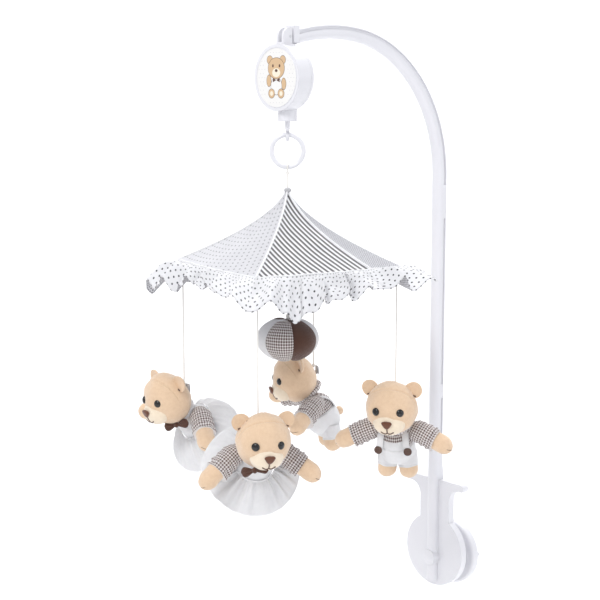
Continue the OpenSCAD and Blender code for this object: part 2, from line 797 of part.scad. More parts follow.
// A loop of tape behind the head: its front face leans on the back of the head.
module tab_form() {
    back = head_at[0] - sqrt(pow(head_r, 2) - pow(head_at[2] + tab_size[2], 2));
    block([back - tab_size[0] - SEAT, -tab_size[1] / 2, -tab_size[2]], [back - SEAT, tab_size[1] / 2, -SEAT]);
}

module bear_cord(i) {
    steps = [for (k = [0:drop_steps]) cord_start - (cord_start - cord_end[i]) * k / drop_steps];
    x = cord_circle * cos(bear_turn[i]);
    y = axis_y + cord_circle * sin(bear_turn[i]);
    color(CORD) tube_down([for (z = steps) [x, y, z]], cord_d);
}

module bear_tab(i) {
    color([0.8, 0.8, 0.82]) hung(i) tab_form();
}

module bear_head(i) {
    color(PLUSH) hung(i) head_form();
}

// Eyes are domed buttons that stand on the surface of the head.
module bear_eyes(i) {
    color(BLACK) hung(i) for (side = [-1, 1])
        translate(head_at) rotate([0, 8, side * 29]) translate([head_r + 0.05, 0, 0]) rotate([0, 90, 0])
            cylinder(r1 = 3.6, r2 = 2.4, h = 1.8);
}

module bear_body(i, pitch) {
    color(CLOTH) hung(i) capsule(body_top(pitch), body_end(pitch), body_r);
}

module bear_arms(i, pitch) {
    color(PLUSH) hung(i) for (side = [-1, 1])
        capsule(shoulder_at(pitch, side), [9, side * (paw_reach - arm_r), -52], arm_r);
}

module bear_legs(i) {
    color(PLUSH) hung(i) for (side = [-1, 1])
        capsule(leg_at(side), leg_at(side) + [1, side * 1.5, -5], leg_r);
}

// Skirt: a hollow cone round the body that ends in a wide hem.
module bear_skirt(i) {
    flare = 20;
    t = 2;
    low = body_r + GAP;
    mid = skirt_r * 0.72;
    color(CLOTH) hung(i) translate(body_top(girl_pitch)) rotate([0, -90 - girl_pitch, 0]) rotate_extrude()
        polygon([[low, 0], [low + t, 0], [mid, 6], [skirt_r, flare], [skirt_r, flare + t],
            [mid, 6 + t], [low, t + 1]]);
}

jaw_bracket();
middle_strut();
curved_arm();
arm_tip();
clamp_screw();
pressure_ring();
clamp_knob();
box_front();
box_back();
face_plate();
case_screws();
tilt_pin();
spout();
movement_plate();
tone_comb();
winding_key();
spring_barrel();
mainspring();
pin_drum();
governor();
spindle_hook();
hanging_ring();
main_cord();
canopy_hanger();
canopy();
ball_cord();
ball();
bear_cord(0);  // front_cord
bear_tab(0);  // front_tab
bear_head(0);  // front_head
bear_eyes(0);  // front_eyes
bear_body(0, girl_pitch);  // front_body
bear_arms(0, girl_pitch);  // front_arms
bear_skirt(0);  // front_skirt
bear_cord(1);  // right_cord
bear_tab(1);  // right_tab
bear_head(1);  // right_head
bear_eyes(1);  // right_eyes
bear_body(1, boy_pitch);  // right_body
bear_arms(1, boy_pitch);  // right_arms
bear_legs(1);  // right_legs
bear_cord(2);  // back_cord
bear_tab(2);  // back_tab
bear_head(2);  // back_head
bear_eyes(2);  // back_eyes
bear_body(2, boy_pitch);  // back_body
bear_arms(2, boy_pitch);  // back_arms
bear_legs(2);  // back_legs
bear_cord(3);  // left_cord
bear_tab(3);  // left_tab
bear_head(3);  // left_head
bear_eyes(3);  // left_eyes
bear_body(3, girl_pitch);  // left_body
bear_arms(3, girl_pitch);  // left_arms
bear_skirt(3);  // left_skirt
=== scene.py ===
import json
import math
import random

import bpy
from mathutils import Matrix, Vector, noise


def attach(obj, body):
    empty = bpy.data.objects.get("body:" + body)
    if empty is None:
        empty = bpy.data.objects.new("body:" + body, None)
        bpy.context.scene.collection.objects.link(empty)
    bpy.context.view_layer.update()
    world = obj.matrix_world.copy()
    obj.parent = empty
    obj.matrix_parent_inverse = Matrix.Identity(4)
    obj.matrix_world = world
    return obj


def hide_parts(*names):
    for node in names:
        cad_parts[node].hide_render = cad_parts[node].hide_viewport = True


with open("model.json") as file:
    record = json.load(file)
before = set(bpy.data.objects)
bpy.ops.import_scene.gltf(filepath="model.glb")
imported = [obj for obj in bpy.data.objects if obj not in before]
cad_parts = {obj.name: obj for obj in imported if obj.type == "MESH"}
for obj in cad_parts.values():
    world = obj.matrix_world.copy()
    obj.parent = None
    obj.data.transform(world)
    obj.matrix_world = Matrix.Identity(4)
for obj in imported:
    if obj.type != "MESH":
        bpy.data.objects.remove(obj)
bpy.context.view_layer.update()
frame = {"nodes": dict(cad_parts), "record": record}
random.seed(11)

# ---------------------------------------------------------------- sizes, in millimetres

MM = 0.001
AXIS_Y = -239.0
STRING_CIRCLE = 113.0
TURN = -57.0
HANGER_LOW = 349.6
CORD_D = 1.6
PEAK_Z, HEM_Z = 434.0, 357.0
RUFFLE_OUT, RUFFLE_DROP = 35.0, 27.0
RING_Z, RING_R, RING_TUBE, RING_TURN = 470.6, 16.15, 2.35, -43.0
BALL_Z, BALL_R, BALL_H = 278.0, 32.5, 46.0
BOX_Z, FACE_Y = 543.5, -254.0
HEAD = Vector((21, 0, -14.3))
HEAD_PITCH = 24.0
BEARS = [
    ("front", -57, 217, -28, "girl"),
    ("right", 33, 230, -57, "boy"),
    ("back", 123, 228, -118, "boy"),
    ("left", 213, 225, -93, "girl"),
]


def rad(a):
    return math.radians(a)


def mix(a, b, t):
    return a + (b - a) * t


def smooth(x):
    x = max(0.0, min(1.0, x))
    return x * x * (3 - 2 * x)


def groove(distance, width, depth):
    return -depth * math.exp(-((distance / width) ** 2))


# ---------------------------------------------------------------- materials


class Shader:
    """A material with one principled shader, and short calls for the nodes that feed it."""

    def __init__(self, name, rough=0.8, metal=0.0, sheen=0.0, coat=0.0):
        self.mat = bpy.data.materials.new(name)
        self.mat.use_nodes = True
        self.nodes = self.mat.node_tree.nodes
        self.links = self.mat.node_tree.links
        self.out = self.nodes["Principled BSDF"]
        self.out.inputs["Roughness"].default_value = rough
        self.out.inputs["Metallic"].default_value = metal
        self.out.inputs["Sheen Weight"].default_value = sheen
        self.out.inputs["Coat Weight"].default_value = coat
        self.place = self.nodes.new("ShaderNodeTexCoord").outputs["Object"]

    def link(self, source, socket):
        if isinstance(source, (int, float)):
            socket.default_value = source
        else:
            self.links.new(source, socket)

    def math(self, kind, a, b=0.0):
        n = self.nodes.new("ShaderNodeMath")
        n.operation = kind
        self.link(a, n.inputs[0])
        self.link(b, n.inputs[1])
        return n.outputs[0]

    def noise(self, scale, detail=3.0, stretch=None):
        n = self.nodes.new("ShaderNodeTexNoise")
        n.inputs["Scale"].default_value = scale
        n.inputs["Detail"].default_value = detail
        place = self.place
        if stretch:
            m = self.nodes.new("ShaderNodeMapping")
            m.inputs["Scale"].default_value = stretch
            self.links.new(place, m.inputs["Vector"])
            place = m.outputs[0]
        self.links.new(place, n.inputs["Vector"])
        return n.outputs["Fac"]

    def uv(self):
        n = self.nodes.new("ShaderNodeSeparateXYZ")
        coord = self.nodes.new("ShaderNodeUVMap")
        coord.uv_map = "cloth"
        self.links.new(coord.outputs[0], n.inputs[0])
        return n.outputs[0], n.outputs[1]

    def mix(self, fac, a, b):
        n = self.nodes.new("ShaderNodeMix")
        n.data_type = "RGBA"
        self.link(fac, n.inputs["Factor"])
        for value, socket in ((a, n.inputs[6]), (b, n.inputs[7])):
            if isinstance(value, tuple):
                socket.default_value = (*value, 1.0)
            else:
                self.links.new(value, socket)
        return n.outputs[2]

    def colour(self, source):
        self.links.new(source, self.out.inputs["Base Color"])

    def roughness(self, low, high, fac):
        n = self.nodes.new("ShaderNodeMapRange")
        n.inputs["To Min"].default_value = low
        n.inputs["To Max"].default_value = high
        self.links.new(fac, n.inputs["Value"])
        self.links.new(n.outputs[0], self.out.inputs["Roughness"])

    def bump(self, height, depth_mm, edge_mm=0.0):
        n = self.nodes.new("ShaderNodeBump")
        n.inputs["Strength"].default_value = 1.0
        n.inputs["Distance"].default_value = depth_mm * MM
        self.links.new(height, n.inputs["Height"])
        if edge_mm:
            bevel = self.nodes.new("ShaderNodeBevel")
            bevel.samples = 4
            bevel.inputs["Radius"].default_value = edge_mm * MM
            self.links.new(bevel.outputs[0], n.inputs["Normal"])
        self.links.new(n.outputs[0], self.out.inputs["Normal"])


def plastic(name, low, high, rough, coat, edge=0.8):
    s = Shader(name, rough=rough, coat=coat)
    s.out.inputs["Coat Roughness"].default_value = 0.12
    s.colour(s.mix(s.noise(14), low, high))
    s.roughness(rough - 0.06, rough + 0.08, s.noise(260, 4))
    s.bump(s.noise(1400, 2), 0.012, edge)
    return s.mat


def metal(name, low, high, rough):
    s = Shader(name, rough=rough, metal=1.0)
    s.colour(s.mix(s.noise(90), low, high))
    s.roughness(rough - 0.1, rough + 0.12, s.noise(700, 4, (1, 12, 1)))
    s.bump(s.noise(2600, 2), 0.01, 0.2)
    return s.mat


def weave_height(s, pitch):
    """Threads over and under each other, from the cloth's own coordinates."""
    u, v = s.uv()
    across = s.math("SINE", s.math("MULTIPLY", u, 2 * math.pi / pitch))
    along = s.math("SINE", s.math("MULTIPLY", v, 2 * math.pi / pitch))
    return s.math("ADD", s.math("MULTIPLY", across, along), s.noise(900, 2))


def cloth(name, paint, pitch=0.55, depth=0.07, rough=0.85):
    """A woven cloth; paint(shader) gives the printed colour."""
    s = Shader(name, rough=rough, sheen=0.25)
    tint = s.mix(s.noise(60, 4), (0.86, 0.86, 0.87), (1.0, 1.0, 1.0))
    n = s.nodes.new("ShaderNodeMix")
    n.data_type = "RGBA"
    n.blend_type = "MULTIPLY"
    n.inputs["Factor"].default_value = 1.0
    s.links.new(paint(s), n.inputs[6])
    s.links.new(tint, n.inputs[7])
    s.colour(n.outputs[2])
    s.bump(weave_height(s, pitch), depth)
    return s.mat


def plain(low, high):
    return lambda s: s.mix(s.noise(240, 5), low, high)


def dots(along, rows, diameter, ground, ink):
    def paint(s):
        u, v = s.uv()
        row = s.math("FLOOR", s.math("DIVIDE", v, rows))
        shift = s.math("MULTIPLY", s.math("MODULO", row, 2.0), 0.5)
        a = s.math("FRACT", s.math("ADD", s.math("DIVIDE", u, along), shift))
        b = s.math("FRACT", s.math("DIVIDE", v, rows))
        x = s.math("MULTIPLY", s.math("SUBTRACT", a, 0.5), along)
        y = s.math("MULTIPLY", s.math("SUBTRACT", b, 0.5), rows)
        far = s.math("SQRT", s.math("ADD", s.math("POWER", s.math("ABSOLUTE", x), 2.0),
                                    s.math("POWER", s.math("ABSOLUTE", y), 2.0)))
        return s.mix(s.math("LESS_THAN", far, diameter / 2), ground, ink)
    return paint


def stripes(pitch, share, ground, ink):
    def paint(s):
        u, v = s.uv()
        return s.mix(s.math("LESS_THAN", s.math("FRACT", s.math("DIVIDE", u, pitch)), share), ground, ink)
    return paint


def gingham(check, ground, ink):
    def paint(s):
        u, v = s.uv()
        a = s.math("GREATER_THAN", s.math("FRACT", s.math("DIVIDE", u, 2 * check)), 0.5)
        b = s.math("GREATER_THAN", s.math("FRACT", s.math("DIVIDE", v, 2 * check)), 0.5)
        level = s.math("MULTIPLY", s.math("ADD", a, b), 0.5)
        return s.mix(level, ground, ink)
    return paint


def plush(name, low, high, pile=0.45):
    """Short brushed pile: colour and height both come from fine, unequal tufts."""
    s = Shader(name, rough=0.95, sheen=0.6)
    s.out.inputs["Sheen Roughness"].default_value = 0.45
    tufts = s.noise(1500, 3)
    clumps = s.noise(330, 3)
    s.colour(s.mix(s.math("MULTIPLY", s.math("ADD", tufts, clumps), 0.5), low, high))
    s.bump(s.math("ADD", tufts, s.math("MULTIPLY", clumps, 0.8)), pile)
    return s.mat


WHITE = (0.87, 0.87, 0.885)
INK = (0.03, 0.03, 0.04)
BROWN = (0.055, 0.022, 0.012)
M = {
    "white_plastic": plastic("arm_plastic", (0.75, 0.75, 0.785), (0.80, 0.80, 0.83), 0.34, 0.15),
    "box_plastic": plastic("box_plastic", (0.73, 0.73, 0.765), (0.79, 0.79, 0.82), 0.2, 0.5),
    "print": plastic("printed_face", (0.80, 0.79, 0.77), (0.85, 0.84, 0.82), 0.4, 0.1, 0.2),
    "steel": metal("steel", (0.55, 0.56, 0.58), (0.68, 0.69, 0.71), 0.32),
    "brass": metal("brass", (0.60, 0.44, 0.18), (0.72, 0.55, 0.26), 0.3),
    "eye": plastic("eye_bead", (0.004, 0.004, 0.005), (0.006, 0.006, 0.006), 0.16, 0.25, 0.1),
    "button": plastic("brown_button", (0.07, 0.028, 0.014), (0.10, 0.042, 0.022), 0.35, 0.3, 0.2),
    # The dotted roof panel's ground is darker than the ruffle's white: painted shade on the left roof panel.
    "dots": cloth("dotted_cloth", dots(6.6, 6.7, 1.7, (0.70, 0.70, 0.725), INK)),
    "ruffle": cloth("ruffle_cloth", dots(6.3, 5.6, 1.9, WHITE, INK)),
    "stripes": cloth("striped_cloth", stripes(6.0, 0.47, WHITE, (0.085, 0.08, 0.085))),
    "lining": cloth("lining_cloth", plain((0.50, 0.50, 0.53), (0.58, 0.58, 0.61))),
    "shade": cloth("fine_dotted_cloth", dots(2.2, 2.2, 1.5, (0.66, 0.66, 0.69), (0.24, 0.24, 0.26))),
    "white_cloth": cloth("white_cloth", plain((0.89, 0.89, 0.90), (0.95, 0.95, 0.95)), 0.6, 0.09),
    "gingham": cloth("gingham_cloth", gingham(1.3, (0.84, 0.80, 0.78), (0.085, 0.034, 0.024)), 0.5, 0.05),
    "brown_cloth": cloth("brown_cloth", plain((0.075, 0.028, 0.015), (0.12, 0.048, 0.028)), 0.7, 0.1),
    "grey_cloth": cloth("grey_cloth", plain((0.52, 0.52, 0.54), (0.62, 0.62, 0.63)), 0.5, 0.08),
    "plush": plush("peach_plush", (0.65, 0.44, 0.27), (0.88, 0.68, 0.49)),
    "cream": plush("cream_plush", (0.78, 0.64, 0.47), (0.92, 0.82, 0.67), 0.3),
    "brown_plush": plush("nose_felt", (0.10, 0.035, 0.018), (0.17, 0.065, 0.035), 0.15),
    "thread": plush("brown_thread", (0.07, 0.028, 0.016), (0.12, 0.05, 0.03), 0.1),
    "muzzle_tan": plastic("printed_tan", (0.62, 0.42, 0.24), (0.68, 0.48, 0.29), 0.4, 0.1, 0.1),
    "face_cream": plastic("printed_cream", (0.84, 0.76, 0.60), (0.88, 0.80, 0.66), 0.4, 0.1, 0.1),
    "cord": plush("twisted_cord", (0.74, 0.72, 0.68), (0.90, 0.88, 0.84), 0.12),
}

# ---------------------------------------------------------------- mesh tools


def finish_mesh(name, verts, faces, mats, body, face_mats=None, corner_uvs=None):
    mesh = bpy.data.meshes.new(name)
    mesh.from_pydata([Vector(v) * MM for v in verts], [], faces)
    for m in mats:
        mesh.materials.append(M[m])
    for i, p in enumerate(mesh.polygons):
        p.use_smooth = True
        if face_mats:
            p.material_index = face_mats[i]
    if corner_uvs:
        layer = mesh.uv_layers.new(name="cloth")
        for loop, uv in zip(layer.data, corner_uvs):
            loop.uv = uv
    mesh.validate()
    obj = bpy.data.objects.new(name, mesh)
    bpy.context.collection.objects.link(obj)
    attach(obj, body)
    return obj


def surface(name, point, cols, rows, size, mats, body, at=Matrix(), pick=None, wrap=True, ends=True, flip=False):
    """A grid of points. point(u, v) runs 0..1 both ways; size is the cloth's own (width, length)."""
    n = cols if wrap else cols + 1
    verts = [at @ Vector(point(i / cols, j / rows)) for j in range(rows + 1) for i in range(n)]
    faces, uvs, kinds = [], [], []
    for j in range(rows):
        for i in range(cols):
            k = (i + 1) % n
            faces.append((j * n + i, j * n + k, (j + 1) * n + k, (j + 1) * n + i))
            for a, b in ((i, j), (i + 1, j), (i + 1, j + 1), (i, j + 1)):
                uvs.append((a / cols * size[0], b / rows * size[1]))
            kinds.append(pick((i + 0.5) / cols, (j + 0.5) / rows) if pick else 0)
    if wrap and ends:
        for row, flip in ((0, True), (rows, False)):
            centre = sum((verts[row * n + i] for i in range(n)), Vector()) / n
            verts.append(centre)
            for i in range(n):
                a, b = row * n + i, row * n + (i + 1) % n
                faces.append((b, a, len(verts) - 1) if flip else (a, b, len(verts) - 1))
                uvs += [(0, 0), (1, 0), (0.5, 1)]
                kinds.append(pick(0.5, 0.0 if flip else 1.0) if pick else 0)
    if flip:
        faces = [tuple(reversed(f)) for f in faces]
        uvs = [uvs[k + 3 - c] for k in range(0, len(uvs), 4) for c in range(4)]
    return finish_mesh(name, verts, faces, mats, body, kinds, uvs)


def ball_shape(radii, change=None, lumps=0.0, scale=0.06, power=1.0):
    """A point on a lumpy ellipsoid; change(p, d) may move it further."""
    radii = Vector(radii)

    def point(u, v):
        a, b = 2 * math.pi * u, math.pi * mix(0.012, 0.988, v)
        d = Vector((math.sin(b) * math.cos(a), math.sin(b) * math.sin(a), -math.cos(b)))
        r = 1.0
        if power != 1.0:
            r = (sum(abs(c) ** (2 * power) for c in d)) ** (-1 / (2 * power))
        p = Vector((radii.x * d.x, radii.y * d.y, radii.z * d.z)) * r
        if change:
            p = change(p, d)
        return p + d * lumps * noise.noise(p * scale)
    return point


def along(start, end, up=Vector((0, 0, 1))):
    """A matrix whose Z runs from start to end."""
    z = (Vector(end) - Vector(start)).normalized()
    x = up.cross(z)
    x = x.normalized() if x.length > 1e-4 else Vector((1, 0, 0))
    y = z.cross(x)
    m = Matrix((x, y, z)).transposed().to_4x4()
    m.translation = Vector(start)
    return m


def limb(name, start, end, radius, mats, body, at, cols=72, rows=56, bend=(0, 0, 0), pick=None, size=None):
    """A stuffed bar from start to end; radius(t) or radius(t, angle) is its radius along it."""
    start, end, bend = Vector(start), Vector(end), Vector(bend)
    m = along(start, end)
    length = (end - start).length
    turn = m.to_3x3()

    def point(u, v):
        a = 2 * math.pi * u
        r = radius(v, a)
        centre = start + (end - start) * v + bend * math.sin(math.pi * v)
        out = turn @ Vector((math.cos(a), math.sin(a), 0))
        p = centre + out * r
        return p + out * 0.35 * noise.noise(p * 0.16)
    size = size or (70.0, length)
    return surface(name, point, cols, rows, size, mats, body, at, pick)


def round_ends(t, length, r):
    """Radius factor of a bar whose two ends are round."""
    d = min(t, 1 - t) * length
    return math.sqrt(max(0.02, 1 - (1 - min(1.0, d / r)) ** 2))


def thread(name, points, r, mat, body, at=Matrix(), sides=8, twist=0.0):
    """A thin tube through points, for stitches, piping and edges."""
    pts = [Vector(p) for p in points]
    verts, faces = [], []
    for k, p in enumerate(pts):
        d = (pts[min(k + 1, len(pts) - 1)] - pts[max(k - 1, 0)]).normalized()
        x = d.cross(Vector((0.31, 0.17, 0.93))).normalized()
        y = d.cross(x)
        for i in range(sides):
            a = 2 * math.pi * i / sides
            rr = r * (1 + twist * math.sin(a * 2 + k * 1.1))
            verts.append(at @ (p + rr * (math.cos(a) * x + math.sin(a) * y)))
    for k in range(len(pts) - 1):
        for i in range(sides):
            j = (i + 1) % sides
            faces.append((k * sides + i, k * sides + j, (k + 1) * sides + j, (k + 1) * sides + i))
    faces.append(tuple(reversed(range(sides))))
    faces.append(tuple(range((len(pts) - 1) * sides, len(pts) * sides)))
    return finish_mesh(name, verts, faces, [mat], body)


def thicken(obj, thickness_mm, offset=-1.0, inner=0):
    m = obj.modifiers.new("thickness", "SOLIDIFY")
    m.thickness = thickness_mm * MM
    m.offset = offset
    m.material_offset = inner
    return obj


# ---------------------------------------------------------------- camera and cords


def camera():
    data = bpy.data.cameras.new("camera")
    obj = bpy.data.objects.new("camera", data)
    bpy.context.collection.objects.link(obj)
    obj.location = (1.0510, -1.1955, 0.5352)
    obj.rotation_euler = (rad(81.33), 0, rad(47.19))
    data.lens, data.sensor_width = 84.17, 36.0
    bpy.context.scene.camera = obj


def free_cord(name, x, y, top, bottom, body):
    steps = 24
    curve = bpy.data.curves.new(name, "CURVE")
    curve.dimensions = "3D"
    spline = curve.splines.new("POLY")
    spline.points.add(steps)
    for k, p in enumerate(spline.points):
        p.co = (x * MM, y * MM, mix(top, bottom, k / steps) * MM, 1)
    curve.bevel_depth = CORD_D / 2 * MM
    curve.bevel_resolution = 3
    curve.materials.append(M["cord"])
    obj = bpy.data.objects.new(name + "_line", curve)
    bpy.context.collection.objects.link(obj)
    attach(obj, body)
    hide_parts(name)
    return obj


def string_at(turn):
    return STRING_CIRCLE * math.cos(rad(turn)), AXIS_Y + STRING_CIRCLE * math.sin(rad(turn))


def knot(name, x, y, z, body, r=2.0):
    def twist(p, d):
        return p * (1 + 0.13 * math.sin(3 * math.atan2(d.y, d.x) + 4 * d.z))
    shape = ball_shape((r, r, r * 1.1), twist)
    obj = surface(name, shape, 32, 20, (8, 8), ["cord"], body, Matrix.Translation((x, y, z)))
    return obj


def cords():
    free_cord("main_cord", 0, AXIS_Y, 450.9, 369.4, "canopy")
    free_cord("ball_cord", 0, AXIS_Y, HANGER_LOW - 0.3, 301.0, "ball_line")
    low = RING_Z - RING_R
    loop = [(math.cos(a) * (RING_TUBE + 1.3), 0, math.sin(a) * (RING_TUBE + 1.3))
            for a in [2 * math.pi * k / 32 for k in range(33)]]
    at = Matrix.Translation((0, AXIS_Y, low)) @ Matrix.Rotation(rad(RING_TURN), 4, "Z")
    thread("ring_loop", loop, CORD_D / 2, "cord", "canopy", at, twist=0.1)
    knot("main_knot", 0, AXIS_Y, low - RING_TUBE - 3.6, "canopy", 1.7)
    knot("ball_knot", 0, AXIS_Y, 301.6, "ball", 2.0)
    for name, turn, end, yaw, kind in BEARS:
        x, y = string_at(turn)
        free_cord(name + "_cord", x, y, HANGER_LOW - 0.3, end, name + "_line")
        knot(name + "_knot", x, y, end + 0.4, name + "_bear", 1.9)


# ---------------------------------------------------------------- canopy


def seam_r(a):
    b = (a - TURN) % 90.0 - 45
    return (STRING_CIRCLE + 5) * (0.85 * math.cos(rad(45)) / math.cos(rad(b)) + 0.15)


def cornerness(a):
    c = math.cos(rad(4 * (a - TURN)))
    return math.cos(rad(2 * (a - TURN))) ** 2 * (1 if c > 0 else 0.5)


def fold(a, s):
    """Gathers of the ruffle: several unequal waves that grow towards its free edge."""
    t = rad(a)
    wave = math.sin(22 * t + 1.6 * math.sin(5 * t)) + 0.6 * math.sin(39 * t + 2.1 * math.sin(3 * t + 1))
    return smooth(s * 1.6) * (wave + 0.9 * noise.noise(Vector((math.cos(t) * 7, math.sin(t) * 7, s * 1.2))))


ROOF_ROWS, RUFFLE_ROWS, ROUND = 44, 22, 1152
ROOF_POWER = 0.6
PANEL_SEAMS = (-57.0, 15.0, 108.0, 213.0, 303.0)
# Where the ruffle hangs further: (angle, half width, extra drop, extra reach).
HANGS = [(-38, 17, 19, -7), (-147, 15, 13, 1), (-95, 20, -8, -3), (20, 22, -5, 2), (60, 30, 3, 0)]


def hang(a, column):
    total = 0.0
    for item in HANGS:
        off = (a - item[0] + 180) % 360 - 180
        total += item[column] * math.exp(-((off / item[1]) ** 2))
    return total


def canopy_point(u, v):
    a = TURN + 360 * u
    edge = ROOF_ROWS / (ROOF_ROWS + RUFFLE_ROWS)
    r0 = seam_r(a)
    direction = Vector((math.cos(rad(a)), math.sin(rad(a)), 0))
    if v <= edge:
        t = mix(0.012, 1.0, v / edge)
        z = PEAK_Z + 2.0 - (PEAK_Z + 2.0 - HEM_Z) * t ** ROOF_POWER
        pucker = 0.35 * smooth((t - 0.86) / 0.14) * fold(a, 0.35)
        sag = 1.0 * math.sin(math.pi * t) * (1 - cornerness(a)) * noise.noise(Vector((a * 0.03, t * 3, 2)))
        return direction * (r0 * t) + Vector((0, AXIS_Y, z + pucker + sag))
    s = (v - edge) / (1 - edge)
    c = cornerness(a)
    out = r0 + s * (RUFFLE_OUT - 16 * (1 - c) + hang(a, 3))
    f = fold(a, s)
    tangent = Vector((-direction.y, direction.x, 0))
    drop = RUFFLE_DROP - 7 - 5 * c + hang(a, 2)
    droop = HEM_Z - drop * (0.45 * s + 0.55 * s * s) + 5.4 * f
    sway = 3.4 * smooth(s * 1.5) * math.sin(22 * rad(a) + 2 * math.sin(4 * rad(a)) + 1.2)
    return direction * (out + 1.5 * f) + tangent * sway + Vector((0, AXIS_Y, droop))


def panel(u):
    """Which of the four cloths the roof has at u, from one seam to the next."""
    a = TURN + 360 * (u % 1.0)
    return sum(a >= seam for seam in PANEL_SEAMS[1:4])


def canopy():
    """One sheet: four roof panels and a gathered ruffle, printed by region."""
    rows = ROOF_ROWS + RUFFLE_ROWS
    edge = ROOF_ROWS / rows

    def pick(u, v):
        if v > edge:
            return 2
        return (1, 4, 1, 0)[panel(u)]

    cloths = ["dots", "stripes", "ruffle", "lining", "shade"]
    obj = surface("canopy_sheet", canopy_point, ROUND, rows, (1, 1), cloths, "canopy",
                  pick=pick, ends=False, flip=True)
    print_canopy(obj.data, rows)
    thicken(obj, 1.1, offset=-1.0, inner=3)
    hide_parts("canopy")
    trims = [piping(k) for k in range(4)] + [hem_line(), apex_cap()]


def print_canopy(mesh, rows):
    """The cloth's own coordinates: straight over each flat panel, and round the gathers of the ruffle."""
    layer = mesh.uv_layers["cloth"]
    slope = [0.0]
    for j in range(ROOF_ROWS):
        a, b = (canopy_point(0.06, k / rows) for k in (j, j + 1))
        slope.append(slope[-1] + (Vector(b) - Vector(a)).length)
    round_mid = [0.0]
    mid = (ROOF_ROWS + RUFFLE_ROWS // 2) / rows
    for i in range(ROUND):
        a, b = (canopy_point(k / ROUND, mid) for k in (i, i + 1))
        round_mid.append(round_mid[-1] + (Vector(b) - Vector(a)).length)
    k = 0
    for j in range(rows):
        for i in range(ROUND):
            for a, b in ((i, j + 1), (i + 1, j + 1), (i + 1, j), (i, j)):
                if j < ROOF_ROWS:
                    which = panel((i + 0.5) / ROUND)
                    angle = TURN + a / ROUND * 360
                    reach = slope[b] * seam_r(angle) / seam_r(TURN + 22)
                    away = rad((PANEL_SEAMS[which + 1] - angle) * 0.78)
                    across, down = reach * math.sin(away), reach * math.cos(away)
                    layer.data[k].uv = (down + 400, across + 400) if which == 3 else (across + 400, down + 400)
                else:
                    layer.data[k].uv = (round_mid[a], (b - ROOF_ROWS) * 1.9)
                k += 1


def piping(corner):
    a = (PANEL_SEAMS[corner] - TURN) / 360
    pts = [Vector(canopy_point(a, v * 0.6667 / 40)) + Vector((0, 0, 0.5)) for v in range(0, 41)]
    return thread("roof_piping_%d" % corner, pts, 0.95, "white_cloth", "canopy", sides=10)


def hem_line():
    v = ROOF_ROWS / (ROOF_ROWS + RUFFLE_ROWS)
    pts = [Vector(canopy_point(k / 480, v)) + Vector((0, 0, 0.2)) for k in range(481)]
    return thread("hem_piping", pts, 0.7, "white_cloth", "canopy")


def apex_cap():
    shape = ball_shape((3.6, 3.6, 2.6), lambda p, d: p * (1 + 0.06 * math.sin(9 * math.atan2(d.y, d.x))))
    return surface("apex_cap", shape, 48, 24, (10, 10), ["grey_cloth"], "canopy",
                   Matrix.Translation((0, AXIS_Y, PEAK_Z - 3.0)))


# ---------------------------------------------------------------- ball


def ball():
    """Six stuffed gores, each with its own cloth, and a pucker at both poles."""
    first_seam = -43.0 - 48.0

    def change(p, d):
        a = math.degrees(math.atan2(d.y, d.x)) - first_seam
        off = min(a % 60, 60 - a % 60) * rad(1) * math.hypot(p.x, p.y)
        pole = smooth((abs(d.z) - 0.86) / 0.14)
        puff = 1 + 0.035 * math.sin(rad((a % 60) * 3))
        p = p * (puff + 0.0) + d * groove(off, 1.3, 1.1)
        return Vector((p.x, p.y, p.z * (1 - 0.12 * pole)))

    def pick(u, v):
        return int(((math.degrees(2 * math.pi * u) - first_seam) % 360) / 60) % 3

    obj = surface("ball_gores", ball_shape((BALL_R - 1.2, BALL_R - 1.2, BALL_H / 2 - 0.4), change, 0.5),
                  360, 120, (204, 62), ["gingham", "brown_cloth", "white_cloth"], "ball",
                  Matrix.Translation((0, AXIS_Y, BALL_Z)), pick)
    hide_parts("ball")


# ---------------------------------------------------------------- bears


def head(name, at, body):
    m = at @ Matrix.Translation(HEAD) @ Matrix.Rotation(rad(HEAD_PITCH), 4, "Y")

    def change(p, d):
        low = max(0.0, -d.z)
        p = Vector((p.x, p.y * (1 + 0.05 * low - 0.05 * max(0.0, d.z)), p.z))
        brow = smooth((d.x + 0.1) * 2)
        p.x += 1.2 * math.exp(-((p.z - 3) / 7) ** 2) * brow
        crown = smooth((d.z - 0.05) * 4)
        p += d * groove(p.x - 1.5 - 5.0 * d.z * (1 - (p.y / 26) ** 2), 0.9, 0.9) * crown
        for side in (-1, 1):
            socket = Vector((19.0, 12.0 * side, 8.0))
            p -= d * 1.5 * math.exp(-(((p - socket).length) / 5.0) ** 2)
        return p + d * groove(p.y, 0.7, 0.5) * smooth((-d.x - 0.1) * 4)

    obj = surface(name + "_head_plush", ball_shape((23.2, 26.2, 28.0), change, 1.0, 0.09), 220, 150,
                  (150, 80), ["plush"], body, m @ Matrix.Translation((0, 0, 1.8)))
    muzzle(name, m, body)
    for side, word in ((-1, "right"), (1, "left")):
        ear(name + "_ear_" + word, side, at @ Matrix.Translation(HEAD), body)
        eye(name + "_eye_" + word, side, m, body)
    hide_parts(name + "_head", name + "_eyes")


